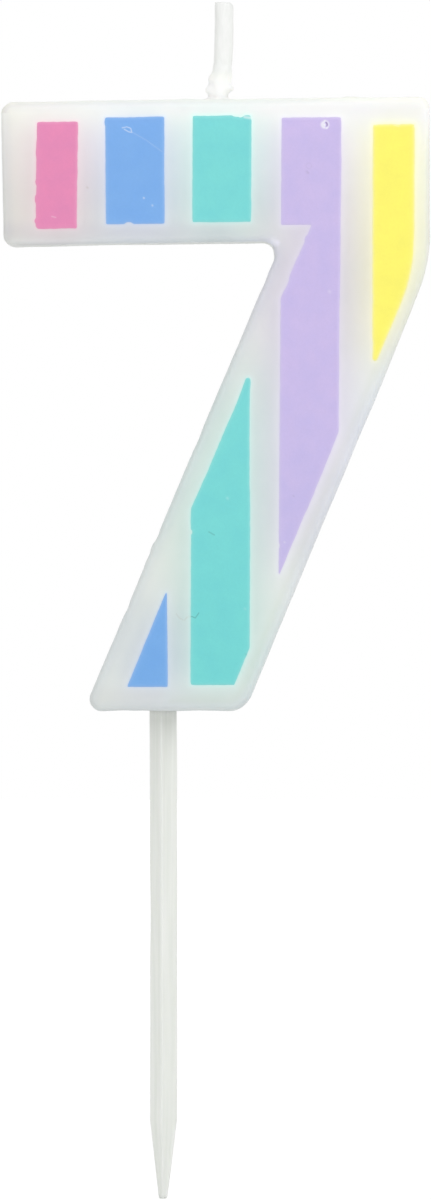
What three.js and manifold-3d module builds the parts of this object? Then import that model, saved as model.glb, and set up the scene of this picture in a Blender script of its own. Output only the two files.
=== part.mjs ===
// A number candle: a flat wax "7" that stands on a plastic pick, with a wick and stripes of colour.
// Millimetres, +Z up, front towards -Y. The origin is where the pick leaves the underside of the wax.

import * as THREE from "three";
import { mergeVertices } from "three/addons/utils/BufferGeometryUtils.js";
import Module from "manifold-3d";

const wasm = await Module();
wasm.setup();

// Numeral: its outline is given by straight edges, which meet in rounded corners
const WAX_THICKNESS = 9;
const WAX_EDGE_ROUND = 1;
const FOOT_LEFT = 8.07;
const FOOT_RIGHT = 8.2;
const STEM_WIDTH_AT_BAR = 15.01;
const SHOULDER_DROP = 2.47;
const BAR_REACH_LEFT = 16.15;
const BAR_REACH_RIGHT = 26.7;
const NUMERAL_HEIGHT = 61.18;
const BAR_HEIGHT = 14.55;
const BAR_TILT = 0.7;
const BAR_END_LEAN = 1.1;

const FOOT_LEFT_ROUND = 1.25;
const FOOT_RIGHT_ROUND = 2.6;
const SHOULDER_ROUND = 19;
const BAR_CORNER_ROUND = 1.2;
const NOTCH_ROUND = 1.22;

// Pick: square in section, set with a corner to the front, barbed where the wax holds it
const PICK_ACROSS_CORNERS = 2.71;
const PICK_TWIST = 7.4;
const PICK_LENGTH_BELOW = 48.85;
const PICK_TAPER_LENGTH = 7.9;
const PICK_TIP_ACROSS = 0.86;
const PICK_DEPTH_IN_WAX = 12;
const BARB_COUNT = 3;
const BARB_PITCH = 3;
const BARB_LENGTH = 1.4;
const BARB_RISE = 0.35;
const PICK_HEAD_LENGTH = 0.6;

// Wick: leans a little from the top of the bar, with its end cut on a slant
const WICK_DIAMETER = 1.86;
const WICK_PLACE = 5.74;
const WICK_LEAN = 1.64;
const WICK_LENGTH_ABOVE = 9.55;
const WICK_DEPTH_IN_WAX = 11.5;
const WICK_CUT = 17;

// Collar of wax that was drawn up round the foot of the wick
const COLLAR_HEIGHT = 2.5;
const COLLAR_FOOT_DIAMETER = 3.8;
const COLLAR_WAIST_DIAMETER = 3.1;
const COLLAR_TOP_DIAMETER = 2.8;
const COLLAR_SET_LEFT = 0.12;
const COLLAR_ROOT = 1;

// Gaps all round what is set into the wax
const PICK_GAP = 0.3;
const WICK_GAP = 0.25;

// Stripes of colour: they share the bar from end to end, and the middle ones are of one width
const FILM_THICKNESS = 0.2;
const FILM_CORNER_ROUND = 0.12;
const END_STRIPE_WIDTH = 4.12;
const STRIPE_SPACING = 2.95;
const LEFT_END_MARGIN = 3.43;
const RIGHT_SIDE_MARGIN = 1.65;

// How far each stripe is laid from its even place, and how much it leans to the right
const STRIPES = {
  pink: { shift: 0, lean: 0.8, colour: 0xe58eba },
  blue: { shift: -0.14, lean: -0.43, colour: 0x81b2ec },
  teal: { shift: -0.3, lean: 0.25, colour: 0x7edcda },
  lavender: { shift: -0.3, lean: 0.38, colour: 0xccbfea },
  yellow: { shift: 0, lean: 0.14, colour: 0xfef677 },
};

// Each panel: the bare wax left between it and the edges that it faces, and how its tip is rounded
const PANELS = {
  pink: { top: 2.07, under: 1.69 },
  blueUpper: { top: 1.71, under: 2.1 },
  tealUpper: { top: 1.67, under: 2.15 },
  lavender: { top: 1.98, under: 1.89, stemLeft: 2.13, stemRight: 2.17, tipRound: 0.05 },
  yellow: { top: 2.75, stemRight: 1.33, foot: 2.5, tipRound: 0.28 },
  tealLower: { under: 2.1, stemLeft: 2.04, stemRight: 2.06, foot: 2.65, tipRound: 0.28 },
  blueLower: { under: 2.1, stemLeft: 3.03, stemRight: 2.1, foot: 2.45, tipRound: 0.12 },
};

const NUMERAL_ARC_STEPS = 10;
const FILM_ARC_STEPS = 4;
const EDGE_STEPS = 4;
const PICK_SIDES = 4;
const WICK_SIDES = 16;
const COLLAR_SIDES = 24;
const MERGE_DISTANCE = 0.01;

// A panel's corner under the first angle is a tip, and one over the second isn't rounded off
const SHARP_TIP = 45;
const BLUNT_CORNER = 135;
const STEM_SIDES = ["stemLeft", "stemRight"];

const radians = THREE.MathUtils.degToRad;

// Straight lines in the plane of the numeral. The wax lies to the left of each one's direction.

function lineThrough(from, to) {
  return { point: from.clone(), along: to.clone().sub(from).normalize() };
}

function leaningLine(x, z, lean, upwards) {
  const way = upwards ? 1 : -1;
  const along = new THREE.Vector2(Math.sin(radians(lean)), Math.cos(radians(lean)));
  return { point: new THREE.Vector2(x, z), along: along.multiplyScalar(way) };
}

function inset(edge, distance) {
  const intoWax = new THREE.Vector2(-edge.along.y, edge.along.x);
  return { point: edge.point.clone().addScaledVector(intoWax, distance), along: edge.along };
}

function meet(a, b) {
  const between = b.point.clone().sub(a.point);
  const distance = between.cross(b.along) / a.along.cross(b.along);
  return a.point.clone().addScaledVector(a.along, distance);
}

// Outlines: corners run anticlockwise as [point, radius]. A radius is limited by its edges, and
// the blunt corners that stay sharp have none.

function interiorAngle(before, here, after) {
  return before.clone().sub(here).angleTo(after.clone().sub(here));
}

function roundedShape(corners, arcSteps) {
  const points = corners.flatMap(([here, round], i) => {
    if (round === undefined) return [here];
    const before = corners.at(i - 1)[0];
    const after = corners[(i + 1) % corners.length][0];
    const halfAngle = interiorAngle(before, here, after) / 2;
    const roomForArc = Math.min(here.distanceTo(before), here.distanceTo(after)) / 2;
    const reach = Math.min(round / Math.tan(halfAngle), roomForArc);
    const radius = reach * Math.tan(halfAngle);
    const back = before.clone().sub(here).normalize();
    const ahead = after.clone().sub(here).normalize();
    const toCentre = back.clone().add(ahead).normalize();
    const centre = here.clone().addScaledVector(toCentre, radius / Math.sin(halfAngle));
    const start = here.clone().addScaledVector(back, reach).sub(centre).angle();
    const end = here.clone().addScaledVector(ahead, reach).sub(centre).angle();
    const hollow = back.cross(ahead) > 0;
    const arc = new THREE.EllipseCurve(centre.x, centre.y, radius, radius, start, end, hollow);
    return arc.getPoints(arcSteps);
  });
  return new THREE.Shape(points);
}

// What is left of a convex outline on the inner side of a straight edge
function cutBack(points, edge) {
  const depthOf = (point) => edge.along.cross(point.clone().sub(edge.point));
  return points.flatMap((here, i) => {
    const next = points[(i + 1) % points.length];
    const kept = depthOf(here) >= 0 ? [here] : [];
    if (depthOf(here) * depthOf(next) < 0) {
      kept.push(meet(edge, lineThrough(here, next)));
    }
    return kept;
  });
}

// Closed geometries, in the numeral's frame

function slab(shape, thickness, edgeRound = 0) {
  const geometry = new THREE.ExtrudeGeometry(shape, {
    depth: thickness - 2 * edgeRound,
    steps: 1,
    bevelEnabled: edgeRound > 0,
    bevelThickness: edgeRound,
    bevelSize: edgeRound,
    bevelOffset: -edgeRound,
    bevelSegments: EDGE_STEPS,
  });
  return geometry.translate(0, 0, edgeRound).rotateX(Math.PI / 2);
}

function turned(profile, sides, firstCorner = 0) {
  const points = profile.map(([radius, height]) => new THREE.Vector2(radius, height));
  return new THREE.LatheGeometry(points, sides, firstCorner).rotateX(Math.PI / 2);
}

function solidOf(geometry) {
  geometry.deleteAttribute("normal");
  geometry.deleteAttribute("uv");
  const merged = mergeVertices(geometry, MERGE_DISTANCE);
  return new wasm.Manifold(
    new wasm.Mesh({
      numProp: 3,
      vertProperties: new Float32Array(merged.attributes.position.array),
      triVerts: new Uint32Array(merged.index.array),
    }),
  );
}

function geometryOf(solid) {
  const mesh = solid.getMesh();
  const geometry = new THREE.BufferGeometry();
  geometry.setAttribute("position", new THREE.BufferAttribute(mesh.vertProperties, mesh.numProp));
  geometry.setIndex(new THREE.BufferAttribute(mesh.triVerts, 1));
  geometry.computeVertexNormals();
  return geometry;
}

function piece(name, solid, look) {
  const mesh = new THREE.Mesh(geometryOf(solid), new THREE.MeshStandardMaterial(look));
  mesh.name = name;
  return mesh;
}

// Edges of the numeral, anticlockwise as seen from the front. The stem joins the foot to the
// notch on its left, and to the shoulder on its right.

function numeralEdges() {
  const footLeft = new THREE.Vector2(-FOOT_LEFT, 0);
  const footRight = new THREE.Vector2(FOOT_RIGHT, 0);
  const under = leaningLine(0, NUMERAL_HEIGHT - BAR_HEIGHT, 90 - BAR_TILT, true);
  const rightSide = leaningLine(BAR_REACH_RIGHT, 0, 0, true);
  const notch = meet(under, inset(rightSide, STEM_WIDTH_AT_BAR));
  const shoulder = meet(under, rightSide);
  shoulder.y -= SHOULDER_DROP;
  return {
    foot: lineThrough(footLeft, footRight),
    stemRight: lineThrough(footRight, shoulder),
    rightSide,
    top: leaningLine(0, NUMERAL_HEIGHT, 90 - BAR_TILT, false),
    leftEnd: leaningLine(-BAR_REACH_LEFT, NUMERAL_HEIGHT - BAR_HEIGHT / 2, -BAR_END_LEAN, false),
    under,
    stemLeft: lineThrough(notch, footLeft),
  };
}

const edges = numeralEdges();

function numeralShape() {
  const corners = [
    [meet(edges.foot, edges.stemRight), FOOT_RIGHT_ROUND],
    [meet(edges.stemRight, edges.rightSide), SHOULDER_ROUND],
    [meet(edges.rightSide, edges.top), BAR_CORNER_ROUND],
    [meet(edges.top, edges.leftEnd), BAR_CORNER_ROUND],
    [meet(edges.leftEnd, edges.under), BAR_CORNER_ROUND],
    [meet(edges.under, edges.stemLeft), NOTCH_ROUND],
    [meet(edges.stemLeft, edges.foot), FOOT_LEFT_ROUND],
  ];
  return roundedShape(corners, NUMERAL_ARC_STEPS);
}

// Pick, and the same form grown by a gap for its socket

function pickSolid(gap) {
  const cornerGap = gap * Math.SQRT2;
  const shaft = PICK_ACROSS_CORNERS / 2 + cornerGap;
  const tip = PICK_TIP_ACROSS / 2 + cornerGap;
  const profile = [
    [0, -PICK_LENGTH_BELOW - gap],
    [tip, -PICK_LENGTH_BELOW - gap],
    [shaft, -PICK_LENGTH_BELOW + PICK_TAPER_LENGTH],
  ];
  for (let i = 0; i < BARB_COUNT; i += 1) {
    const barbTop = PICK_DEPTH_IN_WAX - PICK_HEAD_LENGTH - (BARB_COUNT - 1 - i) * BARB_PITCH;
    profile.push([shaft, barbTop - BARB_LENGTH - gap]);
    profile.push([shaft + BARB_RISE, barbTop - BARB_LENGTH - gap]);
    profile.push([shaft, barbTop]);
  }
  profile.push([shaft, PICK_DEPTH_IN_WAX + gap]);
  profile.push([0, PICK_DEPTH_IN_WAX + gap]);
  return solidOf(turned(profile, PICK_SIDES, radians(-PICK_TWIST)));
}

// Wick and its hole, about a leaning axis that leaves the wax at the top of the bar

const wickFoot = meet(edges.top, leaningLine(WICK_PLACE, 0, 0, true));

function leaningAtWick(geometry) {
  return geometry.rotateY(radians(WICK_LEAN)).translate(wickFoot.x, 0, wickFoot.y);
}

function wickSolid() {
  const radius = WICK_DIAMETER / 2;
  const geometry = turned(
    [
      [0, -WICK_DEPTH_IN_WAX],
      [radius, -WICK_DEPTH_IN_WAX],
      [radius, WICK_LENGTH_ABOVE],
      [0, WICK_LENGTH_ABOVE],
    ],
    WICK_SIDES,
  );
  const places = geometry.attributes.position;
  for (let i = 0; i < places.count; i += 1) {
    if (places.getZ(i) > 0) {
      places.setZ(i, WICK_LENGTH_ABOVE - places.getX(i) * Math.tan(radians(WICK_CUT)));
    }
  }
  return solidOf(leaningAtWick(geometry));
}

function wickHoleSolid() {
  const radius = WICK_DIAMETER / 2 + WICK_GAP;
  const profile = [
    [0, -WICK_DEPTH_IN_WAX - WICK_GAP],
    [radius, -WICK_DEPTH_IN_WAX - WICK_GAP],
    [radius, WICK_LENGTH_ABOVE],
    [0, WICK_LENGTH_ABOVE],
  ];
  return solidOf(leaningAtWick(turned(profile, WICK_SIDES)));
}

function collarSolid() {
  const profile = [
    [0, -COLLAR_ROOT],
    [COLLAR_FOOT_DIAMETER / 2, -COLLAR_ROOT],
    [COLLAR_FOOT_DIAMETER / 2, 0],
    [COLLAR_WAIST_DIAMETER / 2, COLLAR_HEIGHT / 5],
    [COLLAR_WAIST_DIAMETER / 2, COLLAR_HEIGHT * 0.6],
    [COLLAR_TOP_DIAMETER / 2, COLLAR_HEIGHT],
    [0, COLLAR_HEIGHT],
  ];
  const geometry = turned(profile, COLLAR_SIDES).translate(-COLLAR_SET_LEFT, 0, 0);
  return solidOf(leaningAtWick(geometry));
}

function waxSolid() {
  const numeral = slab(numeralShape(), WAX_THICKNESS, WAX_EDGE_ROUND);
  return solidOf(numeral.translate(0, WAX_THICKNESS / 2, 0))
    .add(collarSolid())
    .subtract(wickHoleSolid())
    .subtract(pickSolid(PICK_GAP));
}

// Panels: each stripe's two sides run the whole height, and the numeral's edges cut them to length

function layStripes() {
  const middle = inset(edges.under, BAR_HEIGHT / 2);
  const first = meet(middle, inset(edges.leftEnd, LEFT_END_MARGIN)).x;
  const last = meet(middle, inset(edges.rightSide, RIGHT_SIDE_MARGIN)).x;
  const names = Object.keys(STRIPES);
  const gaps = names.length - 1;
  const forMiddleStripes = last - first - 2 * END_STRIPE_WIDTH - gaps * STRIPE_SPACING;
  const middleWidth = forMiddleStripes / (names.length - 2);
  const sides = {};
  let x = first;
  names.forEach((name, i) => {
    const { shift, lean } = STRIPES[name];
    const width = i === 0 || i === gaps ? END_STRIPE_WIDTH : middleWidth;
    sides[name] = {
      left: leaningLine(x + shift, middle.point.y, lean, false),
      right: leaningLine(x + shift + width, middle.point.y, lean, true),
    };
    x += width + STRIPE_SPACING;
  });
  return sides;
}

const stripeSides = layStripes();

function panelEdge(margins, name) {
  return inset(edges[name], margins[name]);
}

// A stretch of a stripe between two edges of the numeral, cut back by the others that it crosses
function stretch(stripe, margins, from, to, cuts = []) {
  const { left, right } = stripeSides[stripe];
  const lower = panelEdge(margins, from);
  const upper = panelEdge(margins, to);
  const quad = [meet(left, lower), meet(lower, right), meet(right, upper), meet(upper, left)];
  const points = cuts.map((name) => panelEdge(margins, name)).reduce(cutBack, quad);
  return points.map((here, i) => {
    const angle = interiorAngle(points.at(i - 1), here, points[(i + 1) % points.length]);
    if (angle < radians(SHARP_TIP)) return [here, margins.tipRound];
    if (angle < radians(BLUNT_CORNER)) return [here, FILM_CORNER_ROUND];
    return [here, margins.bluntRound];
  });
}

function panel(name, stripe, corners) {
  const solid = solidOf(slab(roundedShape(corners, FILM_ARC_STEPS), FILM_THICKNESS));
  const look = { color: STRIPES[stripe].colour, roughness: 0.35, metalness: 0 };
  const mesh = piece(name, solid, look);
  mesh.position.y = -WAX_THICKNESS / 2;
  return mesh;
}

function barPanel(name, stripe, margins) {
  return panel(name, stripe, stretch(stripe, margins, "under", "top"));
}

// Runs from the bar down into the stem, and narrows to a point against the stem's right side
function lavenderPanel() {
  const margins = PANELS.lavender;
  const { left, right } = stripeSides.lavender;
  const top = panelEdge(margins, "top");
  const under = panelEdge(margins, "under");
  const stemLeft = panelEdge(margins, "stemLeft");
  const stemRight = panelEdge(margins, "stemRight");
  return panel("lavender_panel", "lavender", [
    [meet(left, stemRight), margins.tipRound],
    [meet(stemRight, right)],
    [meet(right, top), FILM_CORNER_ROUND],
    [meet(top, left), FILM_CORNER_ROUND],
    [meet(left, under), FILM_CORNER_ROUND],
    [meet(under, stemLeft)],
    [meet(stemLeft, left)],
  ]);
}

// Follows the shoulder of the numeral and ends in a point beside the stem
function yellowPanel() {
  const margins = { ...PANELS.yellow, bluntRound: SHOULDER_ROUND - RIGHT_SIDE_MARGIN };
  const corners = stretch("yellow", margins, "foot", "top", ["stemRight"]);
  return panel("yellow_panel", "yellow", corners);
}

// Rises from the foot to a point beside the stem's left side
function tealLowerPanel() {
  const corners = stretch("teal", PANELS.tealLower, "foot", "under", STEM_SIDES);
  return panel("teal_panel_lower", "teal", corners);
}

// A triangle in the corner of the foot
function blueLowerPanel() {
  const corners = stretch("blue", PANELS.blueLower, "foot", "under", STEM_SIDES);
  return panel("blue_panel_lower", "blue", corners);
}

// The whole candle

const candle = new THREE.Group();
candle.add(
  piece("wax_body", waxSolid(), { color: 0xe6ebe8, roughness: 0.45, metalness: 0 }),
  piece("wick", wickSolid(), { color: 0xf1f3f0, roughness: 0.8, metalness: 0 }),
  piece("pick", pickSolid(0), { color: 0xe2e5de, roughness: 0.35, metalness: 0 }),
  barPanel("pink_panel", "pink", PANELS.pink),
  barPanel("blue_panel_upper", "blue", PANELS.blueUpper),
  barPanel("teal_panel_upper", "teal", PANELS.tealUpper),
  lavenderPanel(),
  yellowPanel(),
  tealLowerPanel(),
  blueLowerPanel(),
);

export default candle;
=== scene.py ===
import math

import bmesh
import bpy
import numpy as np
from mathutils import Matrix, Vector
from mathutils.geometry import delaunay_2d_cdt


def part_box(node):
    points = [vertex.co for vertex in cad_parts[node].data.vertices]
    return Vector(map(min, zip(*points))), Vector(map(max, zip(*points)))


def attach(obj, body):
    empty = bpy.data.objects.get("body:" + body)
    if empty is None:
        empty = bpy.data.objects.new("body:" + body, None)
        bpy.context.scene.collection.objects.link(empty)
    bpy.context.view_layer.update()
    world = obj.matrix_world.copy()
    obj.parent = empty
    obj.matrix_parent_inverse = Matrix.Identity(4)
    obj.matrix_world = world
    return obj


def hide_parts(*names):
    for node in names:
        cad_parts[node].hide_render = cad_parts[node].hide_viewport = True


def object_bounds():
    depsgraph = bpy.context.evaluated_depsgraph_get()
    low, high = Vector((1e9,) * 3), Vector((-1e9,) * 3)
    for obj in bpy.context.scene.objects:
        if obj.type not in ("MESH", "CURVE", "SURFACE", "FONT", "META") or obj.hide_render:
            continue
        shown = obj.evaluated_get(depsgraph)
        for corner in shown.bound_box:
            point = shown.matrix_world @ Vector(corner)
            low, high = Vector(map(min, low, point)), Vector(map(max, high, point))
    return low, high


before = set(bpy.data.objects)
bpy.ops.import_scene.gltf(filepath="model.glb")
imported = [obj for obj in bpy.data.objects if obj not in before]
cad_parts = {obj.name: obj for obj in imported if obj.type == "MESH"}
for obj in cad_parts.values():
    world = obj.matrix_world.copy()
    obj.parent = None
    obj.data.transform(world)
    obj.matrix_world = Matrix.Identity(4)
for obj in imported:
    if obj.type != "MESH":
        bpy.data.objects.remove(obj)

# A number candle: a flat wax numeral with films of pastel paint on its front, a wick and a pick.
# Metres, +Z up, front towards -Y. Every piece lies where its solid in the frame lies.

CAD_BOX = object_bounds()
MM = 0.001

# The picture: a long lens, level with the middle of the candle
PICTURE_HEIGHT = 120.0 * MM
PICTURE_CENTRE = (5.17 * MM, 11.15 * MM)
FOCUS_DEPTH = -4.2 * MM
LENS = 450
SENSOR = 36
CLIP_START = 0.1
CLIP_END = 30

# Light, in metres: the level of the world, and soft boxes by name, place, width, height and level
WORLD_LEVEL = 0.73
LAMP_TARGET = (PICTURE_CENTRE[0], 0, 0.03)
LAMPS = (
    ("key", (0.26, -0.36, 0.24), 0.3, 0.35, 0.283),
    ("fill", (-0.56, -0.54, 0.06), 0.5, 0.6, 0.22),
    ("top", (0.08, -0.04, 0.40), 0.35, 0.25, 0.053),
)

# Floor: where it is seen directly it glows, and more so further from the candle, until it is white
FLOOR_HALF = 3.0
FLOOR_GAP = 0.05 * MM
FLOOR_GREY = (0.8, 0.8, 0.8)
FLOOR_GLOW = (0.36, 0.52)
FLOOR_GLOW_FROM = (0.15, 0.9)

# Wax
WAX_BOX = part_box("wax_body")
WAX_FRONT = WAX_BOX[0].y
WAX_BACK = WAX_BOX[1].y
CAD_EDGE_ROUND = 1.0 * MM
WAX_EDGE_ROUND = 0.65 * MM
EDGE_STEPS = 6
WALL_STEP = 0.55 * MM
WAX_STEP = 0.34 * MM
FACE_STEP = 1.25 * WAX_STEP
FACE_SPACING = 0.10 * MM
GRID_MARGIN = 0.6 * WAX_STEP
ROWS_MARGIN = 0.5 * WAX_STEP
WAX_UNEVENNESS = ((9 * MM, 0.022 * MM, 11), (2.6 * MM, 0.006 * MM, 12))

# The cast lies a little inside its drawn outline: how far, where an edge faces right or down, and
# how far under the bar, from its left end to the notch; the left end itself lies a little outside
TRIM_LEFT_END = -0.03 * MM
LEFT_END = (14.5 * MM, 15.5 * MM)
TRIM_RIGHT = 0.07 * MM
TRIM_FOOT = 0.04 * MM
FOOT_TOP = 21.5 * MM
TRIM_BAR = (0.14 * MM, 0.25 * MM)
TRIM_BAR_FROM = (-16 * MM, -4 * MM)
BAR_UNDERSIDE = (43 * MM, 49 * MM)
FACING = (0.2, 0.9)

# Places on the rim where the wax is nicked (or stands proud, where the depth is below nought): x, z,
# reach and depth in mm
RIM_FLAWS = (
    (-3.75, 10.4, 0.55, 0.07), (-1.75, 15.0, 0.5, -0.06), (-1.15, 16.5, 0.5, -0.10),
    (-0.6, 17.5, 0.6, 0.06), (3.3, 27.2, 0.9, 0.06), (-4.0, 0.0, 1.0, 0.05),
    (-1.9, 0.0, 0.9, 0.05), (3.6, 0.0, 1.6, 0.05), (-6.6, 0.0, 0.8, -0.03), (7.6, 0.2, 1.4, -0.05),
    (10.0, 42.8, 0.8, 0.07), (20.9, 30.6, 2.2, -0.04), (25.4, 41.4, 1.2, 0.06),
    (26.7, 46.4, 1.6, -0.05), (18.3, 61.4, 0.4, -0.10), (19.0, 61.4, 0.4, -0.07),
    (2.4, 61.2, 0.8, -0.08), (-15.9, 60.8, 0.7, 0.08), (-15.9, 60.8, 0.3, 0.03),
)

# Wax drawn up round the foot of the wick, from the flat of the bar inwards: radius and height in mm
COLLAR_PROFILE = (
    (2.7, 0.0), (1.8, 0.04), (1.3, 0.17), (1.06, 0.42), (1.01, 0.8), (1.01, 1.2), (1.01, 1.7),
    (1.00, 2.3), (0.97, 2.8), (0.94, 3.3), (0.91, 3.7), (0.86, 4.1), (0.0, 4.1),
)

# Lumps and hollows on it: angle in degrees from +X, height in mm, how far it spreads up and down in mm
# and around in degrees, and swelling in mm
COLLAR_LUMPS = (
    (180, 1.00, 0.42, 45, 0.48), (177, 1.95, 0.50, 40, 0.26), (0, 1.28, 0.34, 40, 0.34),
    (0, 0.50, 0.42, 60, -0.30), (290, 0.9, 0.40, 40, 0.14), (235, 1.8, 0.35, 35, 0.12),
    (252, 1.3, 0.25, 22, 0.12), (80, 1.1, 0.50, 50, 0.25), (130, 2.0, 0.40, 40, 0.14),
    (308, 2.2, 0.50, 8, 0.07), (296, 2.3, 0.45, 8, -0.05), (284, 2.7, 0.30, 8, 0.06),
    (330, 2.0, 0.60, 10, 0.04),
)
COLLAR_LUMPS_START = 0.08 * MM
COLLAR_FOOT = COLLAR_PROFILE[0][0] * MM
COLLAR_GROUND = 0.5 * MM
COLLAR_MARGIN = 0.2 * MM
COLLAR_TILT = 0.1
COLLAR_HIGH_SIDE = math.radians(200)
COLLAR_UNEVENNESS = ((0.9 * MM, 0.028 * MM, 61), (0.45 * MM, 0.012 * MM, 62))
COLLAR_UNEVEN_FROM = 0.5 * MM

# Wick. Its route: heights above the bar and x, in mm.
WICK_ROUTE = ((-11.5, 5.45), (-2, 5.5), (0, 5.55), (1, 5.63), (3, 5.88), (6, 6.03), (9.8, 6.03))
WICK_ROUTE_BLEND = 0.7 * MM
WICK_ROOT = -11.5 * MM
WICK_TOP = 9.75 * MM
WICK_STEP = 0.16 * MM
WICK_SIDES = 48
WICK_RADIUS = 0.93 * MM
WICK_WAIST = 0.08 * MM
WICK_WAIST_ENDS = (2.8 * MM, 4.2 * MM)
WICK_STRANDS = 4
WICK_PLAIT = 3.2 * MM
WICK_RELIEF = 0.025 * MM
WICK_RIDGE_MIDDLE = 0.4
WICK_CUT = math.radians(2)
WICK_CUT_FROM = 2 * MM
WICK_SPENT_CORNER = 0.26 * MM
WICK_CROWN = 0.12 * MM
WICK_CROWN_RINGS = (0.985, 0.93, 0.82, 0.66, 0.45, 0.22)
WICK_UNEVENNESS = ((1.4 * MM, 0.010 * MM, 71),)
WICK_FRAY = ((0.45 * MM, 0.012 * MM, 72),)
WICK_FRAY_FROM = 0.5 * MM

# Pick: a square bar, seen on its corner, with barbs where the wax holds it. Its bend: heights and x in
# mm. Its end: heights above it in mm, and shares of the tip's radius.
PICK_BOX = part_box("pick")
PICK_RADIUS = 1.42 * MM
PICK_CORNER_ROUND = 0.12 * MM
PICK_CORNER_SHARE = 0.3
PICK_CORNER_STEPS = 4
PICK_SIDE_STEPS = 5
PICK_TURN = math.radians(-7.4)
PICK_BEND = ((-48.85, -0.10), (-38, -0.02), (-19, -0.02), (-1, -0.08))
PICK_STEP = 1 * MM
PICK_TAPER = 7.9 * MM
PICK_TAPER_STEPS = 24
PICK_TIP_RADIUS = 0.47 * MM
PICK_END = ((0, 0.7), (0.03, 0.88), (0.10, 1))
PICK_UNEVENNESS = ((1.6 * MM, 0.014 * MM, 81),)
PICK_STREAKS = (1, 1, 0.25)
PICK_EVEN_TIP = 1 * MM
BARB_TOPS = (5.4 * MM, 8.4 * MM, 11.4 * MM)
BARB_LENGTH = 1.4 * MM
BARB_RISE = 0.35 * MM

# Painted shadow darkens it below the wax, though less so close to it, and painted shade along its ridge
# tones down the highlight there; it is also darker at its tip, and painted light makes it paler towards
# its right corner
PICK_DIM_BY_WAX = 0.135
PICK_DIM_REACH = 5 * MM
PICK_LESS_DIM = 0.20
PICK_LESS_DIM_REACH = 0.4 * MM
PICK_DIM_TIP = 0.06
PICK_DIM_RIDGE = 0.048
PICK_RIDGE_SPREAD = 0.08
PICK_LIT_RIGHT = 0.10
PICK_LIT_FROM = (0.7, 1.55)
PICK_LIT_DEPTH = 0.12 * MM

# Paint films
FILM_STEP = 0.13 * MM
FILM_GRID = 0.26 * MM
FILM_SPACING = 0.035 * MM
FILM_MARGIN = 0.02 * MM
FILM_LIP = 0.004 * MM
FILM_HEIGHT = 0.04 * MM
FILM_SHOULDER = 0.2 * MM
FILM_BEAD = 0.010 * MM
FILM_BEAD_PLACE = 0.26 * MM
FILM_BEAD_SPREAD = 0.09 * MM
FILM_ROOT = 0.12 * MM
FILM_THIN = 0.13 * MM
FILM_UNEVENNESS = ((2.2 * MM, 0.004 * MM, 21), (0.7 * MM, 0.002 * MM, 22))
FILM_EVEN_RIM = 0.3 * MM
FILM_RAGS = ((2.4 * MM, 0.7), (0.7 * MM, 0.5))
FILM_SEED = 40
FILM_SEED_STEP = 3
FILM_RINGS = (0.04, 0.09, 0.15, 0.22, 0.3, 0.42)

# Beside a film the wax has rows of points, this far out in mm, instead of its even grid
ROWS_BY_FILM = (-0.1, 0.04, 0.13, 0.24, 0.38)
NO_GRID_BY_FILM = (-0.5 * MM, 0.2 * MM)
NEAR_FILM = 1 * MM

# Painted shade makes the paint a little deeper towards the foot, and painted light makes it paler just
# under the top edge
PAINTED_SHADE_LOW = (-0.10, -0.02, -0.02)
PAINTED_SHADE_FROM = (25 * MM, 60 * MM)
PAINTED_LIGHT_HIGH = (0.06, 0.035, 0.05)
PAINTED_LIGHT_REACH = 3.0 * MM

PALETTE = {
    "pink": (0.770, 0.246, 0.454),
    "blue": (0.188, 0.411, 0.804),
    "teal": (0.182, 0.680, 0.663),
    "lavender": (0.578, 0.492, 0.796),
    "yellow": (0.985, 0.898, 0.142),
}

# How much of the white wax shows through each paint where it thins out at its rim
RIM_PALENESS = {"pink": 0.12, "blue": 0.14, "teal": 0.14, "lavender": 0.16, "yellow": 0.45}

# The other colours
WAX_COLOURS = ((0.825, 0.845, 0.830), (0.860, 0.870, 0.858))
WICK_COLOURS = ((0.855, 0.87, 0.85), (0.90, 0.905, 0.892))
PICK_COLOURS = ((0.795, 0.82, 0.775), (0.862, 0.878, 0.843))
PAINT_PATCHES = ((0.955, 0.97, 1.0), (1.04, 1.02, 1.01))
PAINT_GRAIN = 0.88
PALE_WAX = 0.86
PALE_MARK = (0.93, 0.94, 0.95)
DARK_MARK = 0.25
DARK_MARK_ON_WAX = (0.42, 0.34, 0.27)
BLACK = (0, 0, 0)
WHITE = (1, 1, 1)

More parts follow.
